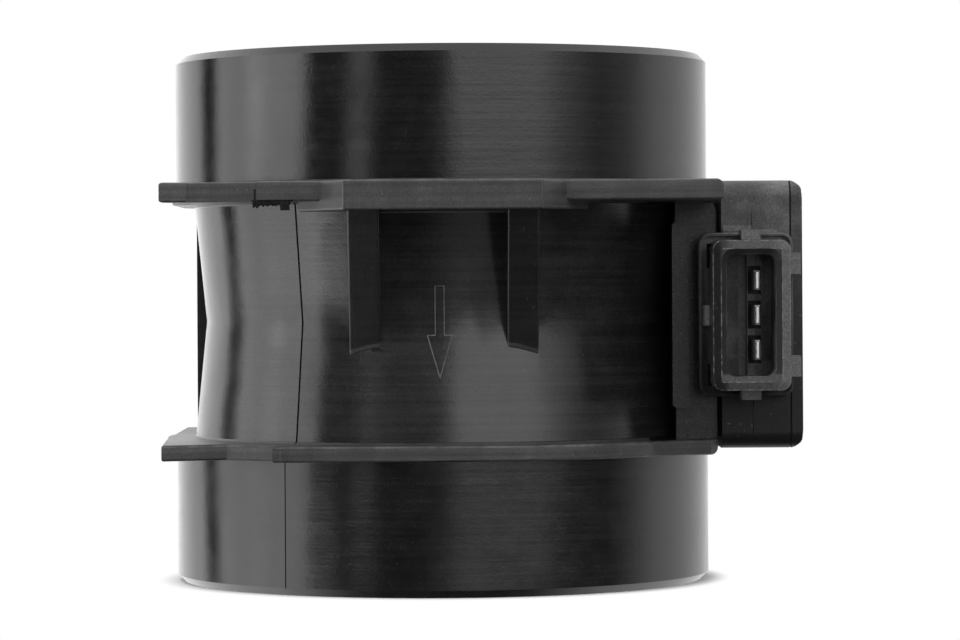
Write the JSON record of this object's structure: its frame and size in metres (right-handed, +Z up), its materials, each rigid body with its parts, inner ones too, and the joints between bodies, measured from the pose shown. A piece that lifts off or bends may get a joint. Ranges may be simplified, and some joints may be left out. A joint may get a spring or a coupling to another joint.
{
  "type": "mass airflow sensor",
  "caption": "Moulded air duct with a hot-film airflow sensor, clip flanges, an electronics box and a plug socket on its side.",
  "frame": {"origin": "centre of the outlet rim", "axes": "+Z up the duct towards the air inlet, -Y the front with the plug socket, +X towards the electronics box"},
  "size_m": [0.094, 0.088, 0.0785],
  "materials": {
    "duct_plastic": "black moulded plastic, satin with fine scuffs along the flow",
    "box_plastic": "black moulded plastic, fine grain",
    "cover_plastic": "black moulded plastic, fine grain",
    "screen_plastic": "dark grey moulded plastic",
    "screen_wire": "drawn stainless wire",
    "finger_plastic": "glass-filled dark grey plastic",
    "seal_rubber": "soft black rubber",
    "film_glass": "pale fired film plate",
    "contact_metal": "plated strip",
    "pin_metal": "bright tinned blade",
    "plate_metal": "plain sheet",
    "board_ceramic": "fired ceramic",
    "screw_steel": "zinc plated",
    "chip_plastic": "moulded package",
    "capacitor_ceramic": "tan ceramic"
  },
  "bodies": {
    "root": {"duct_housing": "duct_plastic", "straightener_grid": "screen_plastic", "inlet_mesh": "screen_wire", "mesh_retaining_ring": "screen_plastic", "sensor_finger": "finger_plastic", "finger_cover": "finger_plastic", "finger_seal": "seal_rubber", "hot_film_element": "film_glass", "air_temperature_element": "film_glass", "sensor_lead_frame": "contact_metal", "electronics_housing": "box_plastic", "box_gasket": "seal_rubber", "electronics_cover": "cover_plastic", "cover_seal": "seal_rubber", "base_plate": "plate_metal", "circuit_board": "board_ceramic", "housing_screws": "screw_steel", "terminal_pin_1": "pin_metal", "terminal_pin_2": "pin_metal", "terminal_pin_3": "pin_metal", "control_chip": "chip_plastic", "amplifier_chip": "chip_plastic", "power_transistor": "chip_plastic", "capacitor_1": "capacitor_ceramic", "capacitor_2": "capacitor_ceramic", "capacitor_3": "capacitor_ceramic", "capacitor_4": "capacitor_ceramic", "resistor_1": "chip_plastic", "resistor_2": "chip_plastic", "resistor_3": "chip_plastic"}
  },
  "joints": []
}
